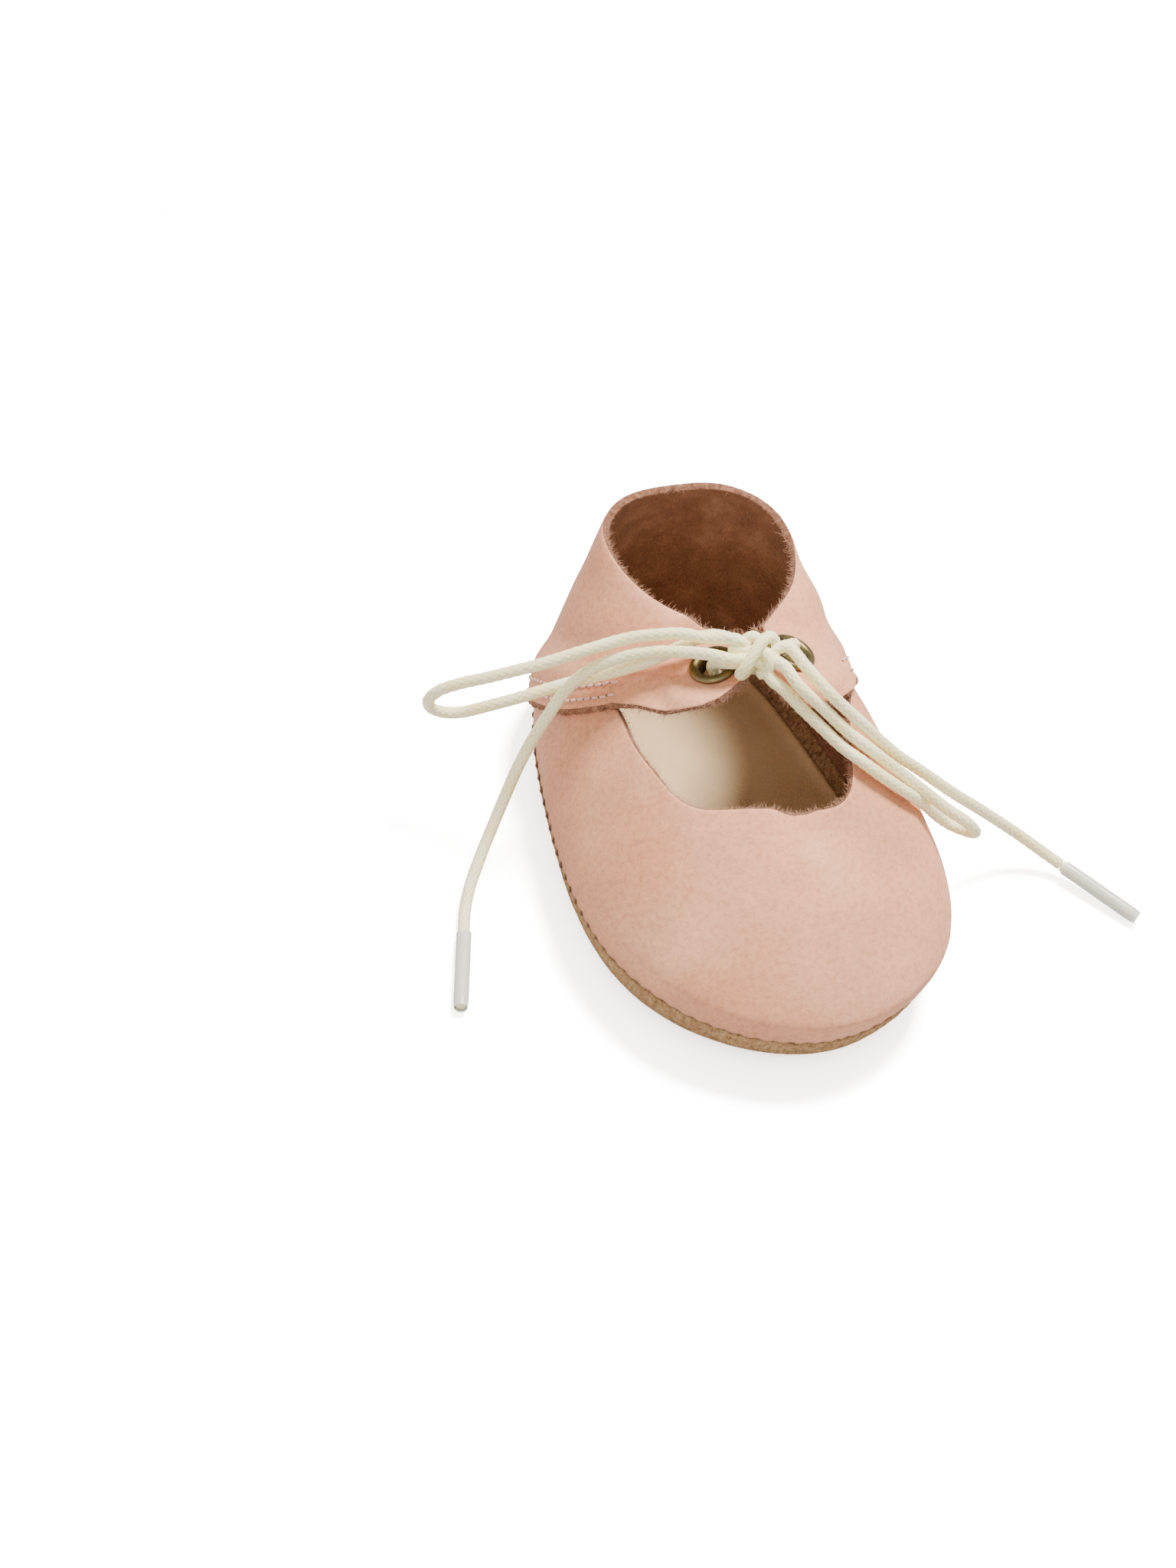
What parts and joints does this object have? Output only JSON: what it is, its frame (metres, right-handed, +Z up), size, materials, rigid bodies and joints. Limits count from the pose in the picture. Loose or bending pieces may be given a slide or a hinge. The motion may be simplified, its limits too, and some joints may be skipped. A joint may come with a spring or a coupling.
{
  "type": "mary jane shoe",
  "caption": "Baby's soft-soled leather mary jane for the right foot, with a wide rounded toe, a lapped heel piece and a cord tied in a bow through eyelets on its strap tabs.",
  "frame": {"origin": "on the floor under the middle of the shoe's length and width, without the cord's loose parts", "axes": "+Z up, -Y towards the toe, +Y towards the heel, +X towards the foot's inner side (the wearer's big toe)"},
  "size_m": [0.1502, 0.1172, 0.0588],
  "materials": {
    "leather": "matte blush-pink nubuck, dark brown flesh side",
    "sole": "tan suede",
    "sock": "smooth tan lining leather",
    "brass": "antique brass, worn bright at the rims",
    "cord": "waxed cream braid",
    "aglet": "milky translucent film"
  },
  "bodies": {
    "root": {"upper": "leather", "outsole": "sole", "insole": "sock", "eyelet_outer": "brass", "eyelet_inner": "brass", "lace_bar": "cord", "lace_knot": "cord", "lace_loop_outer": "cord", "lace_loop_inner": "cord", "lace_end_outer": "cord", "lace_end_inner": "cord", "aglet_outer": "aglet", "aglet_inner": "aglet"}
  },
  "joints": []
}
